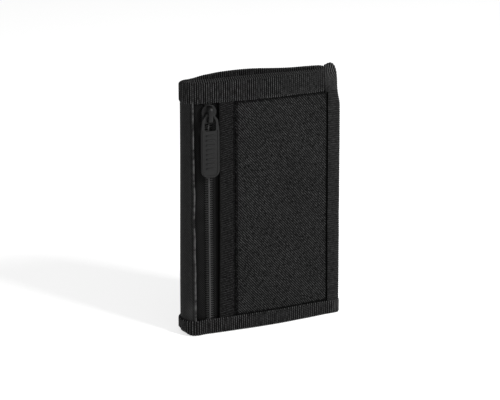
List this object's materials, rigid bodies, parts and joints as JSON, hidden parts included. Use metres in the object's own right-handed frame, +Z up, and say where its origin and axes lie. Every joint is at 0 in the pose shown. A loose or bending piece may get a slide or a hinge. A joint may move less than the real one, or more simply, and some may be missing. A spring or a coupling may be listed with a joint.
{
  "type": "bifold wallet",
  "caption": "Slim bifold wallet of bound nylon with a round spine fold, a zipped coin pocket on the front leaf, an identity window and card pockets inside.",
  "frame": {"origin": "middle of the closed wallet in X and Y, with the puller counted, on the surface that it stands on", "axes": "+Z up along the spine, +X from the spine fold to the free edges, -Y out of the leaf with the zipped coin pocket"},
  "size_m": [0.0833, 0.0198, 0.127],
  "materials": {
    "shell_twill": "black nylon twill, matt with a faint sheen",
    "facing_twill": "black nylon twill, folded edge",
    "binding_grosgrain": "black ribbed grosgrain binding tape",
    "zip_tape_weave": "black woven zip tape",
    "zip_coil_nylon": "black nylon coil, semi-gloss",
    "zip_stop_metal": "black lacquered metal",
    "slider_metal": "black lacquered metal, satin",
    "puller_rubber": "dark grey moulded rubber, matt",
    "lining_taffeta": "black nylon lining",
    "window_frame_twill": "black nylon twill frame",
    "window_film": "clear flexible film",
    "pocket_twill": "black nylon twill",
    "thread": "black polyester thread"
  },
  "bodies": {
    "back_leaf": {"back_panel": "shell_twill", "back_edge_tape": "binding_grosgrain", "back_top_tape": "binding_grosgrain", "back_bottom_tape": "binding_grosgrain", "back_inner_wall": "lining_taffeta", "back_inner_top_tape": "binding_grosgrain", "card_pocket_rear": "pocket_twill", "card_pocket_middle": "pocket_twill", "card_pocket_front": "pocket_twill"},
    "spine": {"spine_panel": "shell_twill", "spine_inner_wall": "lining_taffeta", "spine_top_tape": "binding_grosgrain", "spine_bottom_tape": "binding_grosgrain", "spine_inner_top_tape": "binding_grosgrain"},
    "front_leaf": {"front_panel": "shell_twill", "zip_facing": "facing_twill", "spine_side_facing": "shell_twill", "facing_topstitch": "thread", "front_edge_tape": "binding_grosgrain", "front_top_tape": "binding_grosgrain", "front_bottom_tape": "binding_grosgrain", "zip_tape_left": "zip_tape_weave", "zip_tape_right": "zip_tape_weave", "zip_coil_left": "zip_coil_nylon", "zip_coil_right": "zip_coil_nylon", "zip_top_stops": "zip_stop_metal", "zip_bottom_stop": "zip_stop_metal", "coin_pocket_lining": "lining_taffeta", "front_inner_wall": "lining_taffeta", "front_inner_top_tape": "binding_grosgrain", "id_window_frame": "window_frame_twill", "id_window_film": "window_film"},
    "slider": {"zip_slider": "slider_metal"},
    "puller": {"zip_puller": "puller_rubber"}
  },
  "joints": [
    {"name": "spine_fold", "type": "hinge", "parent": "back_leaf", "child": "spine", "pos_m": [-0.04002, 0.00737, 0], "axis": [0, 0, -1], "range_deg": [0, 90]},
    {"name": "front_fold", "type": "hinge", "parent": "spine", "child": "front_leaf", "pos_m": [-0.04002, -0.00457, 0], "axis": [0, 0, -1], "range_deg": [0, 90]},
    {"name": "slider_run", "type": "slide", "parent": "front_leaf", "child": "slider", "axis": [0, 0, -1], "range_m": [0, 0.0985]},
    {"name": "puller_swing", "type": "hinge", "parent": "slider", "child": "puller", "pos_m": [-0.03044, -0.00795, 0.1113], "axis": [-0.998, 0.0629, 0], "range_deg": [0, 170]}
  ],
  "couplings": [
    {"joint": "front_fold", "follows": "spine_fold", "ratio": 1}
  ]
}
